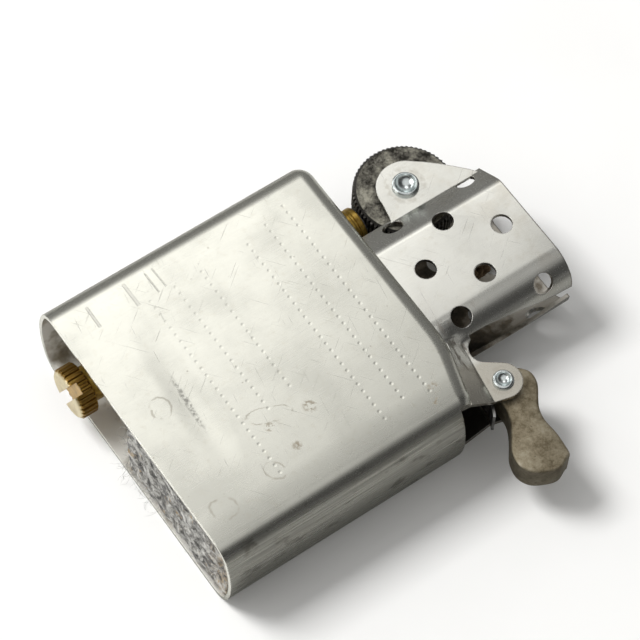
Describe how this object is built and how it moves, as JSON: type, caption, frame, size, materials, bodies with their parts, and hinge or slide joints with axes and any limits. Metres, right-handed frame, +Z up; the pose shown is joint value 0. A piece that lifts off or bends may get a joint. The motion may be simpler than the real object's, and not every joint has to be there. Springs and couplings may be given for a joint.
{
  "type": "lighter insert",
  "caption": "Inner unit of a windproof petrol lighter: drawn steel can, perforated chimney, spark wheel, flint feed, sprung cam, wick and fuel filling.",
  "frame": {"origin": "centre of the can's open bottom rim, on the rim plane", "axes": "+Z up through the chimney, +X towards the cam, -X towards the spark wheel, -Y out of the front broad face"},
  "size_m": [0.0444, 0.0116, 0.0513],
  "materials": {
    "can_steel": "satin, finely scratched",
    "chimney_steel": "satin",
    "wheel_steel": "file cut, blackened by sparks",
    "rivet_zinc": "bright zinc",
    "cam_steel": "brown patina, bright worn edges",
    "spring_steel": "plain spring steel",
    "tube_brass": "tarnished",
    "pusher_brass": "turned",
    "screw_brass": "turned and knurled",
    "flint_alloy": "matt",
    "wick_cotton": "braided cotton",
    "wick_copper": "fine wire",
    "wadding_rayon": "fluffy fibre",
    "pad_felt": "mottled recycled felt"
  },
  "bodies": {
    "insert": {"insert_can": "can_steel", "chimney": "chimney_steel", "wheel_rivet": "rivet_zinc", "cam_rivet": "rivet_zinc", "flint_tube": "tube_brass", "wick": "wick_cotton", "wick_wires": "wick_copper", "wadding_1": "wadding_rayon", "wadding_2": "wadding_rayon", "wadding_3": "wadding_rayon", "wadding_4": "wadding_rayon", "wadding_5": "wadding_rayon", "felt_pad": "pad_felt"},
    "spark_wheel": {"spark_wheel": "wheel_steel"},
    "cam": {"cam": "cam_steel"},
    "cam_spring": {"cam_spring": "spring_steel"},
    "flint": {"flint": "flint_alloy", "flint_pusher": "pusher_brass"},
    "screw_feed": {"flint_spring": "spring_steel"},
    "flint_screw": {"flint_screw": "screw_brass"},
    "felt_flap": {"felt_flap": "pad_felt"}
  },
  "joints": [
    {"name": "wheel_spin", "type": "hinge", "parent": "insert", "child": "spark_wheel", "pos_m": [-0.00972, 0, 0.04148], "axis": [0, 1, 0], "continuous": true},
    {"name": "cam_swing", "type": "hinge", "parent": "insert", "child": "cam", "pos_m": [0.0153, 0, 0.03605], "axis": [0, -1, 0], "range_deg": [-5, 92]},
    {"name": "cam_spring_flex", "type": "hinge", "parent": "insert", "child": "cam_spring", "pos_m": [0.0044, 0, 0.0321], "axis": [0, 1, 0], "range_deg": [0, 2.5], "stiffness_Nm_per_rad": 0.02},
    {"name": "flint_slide", "type": "slide", "parent": "insert", "child": "flint", "axis": [0, 0, -1], "range_m": [0, 0.0012], "stiffness_N_per_m": 40, "deforming": ["flint_spring"]},
    {"name": "screw_feed", "type": "slide", "parent": "insert", "child": "screw_feed", "axis": [0, 0, -1], "range_m": [0, 0.004]},
    {"name": "screw_turn", "type": "hinge", "parent": "screw_feed", "child": "flint_screw", "pos_m": [-0.00975, 0, 0], "axis": [0, 0, -1], "range_deg": [0, 2881]},
    {"name": "pad_lift", "type": "hinge", "parent": "insert", "child": "felt_flap", "pos_m": [0.0056, 0, 0.00012], "axis": [0, -1, 0], "range_deg": [0, 70]}
  ],
  "couplings": [
    {"joint": "screw_turn", "follows": "screw_feed", "rad_per_m": 12566}
  ]
}
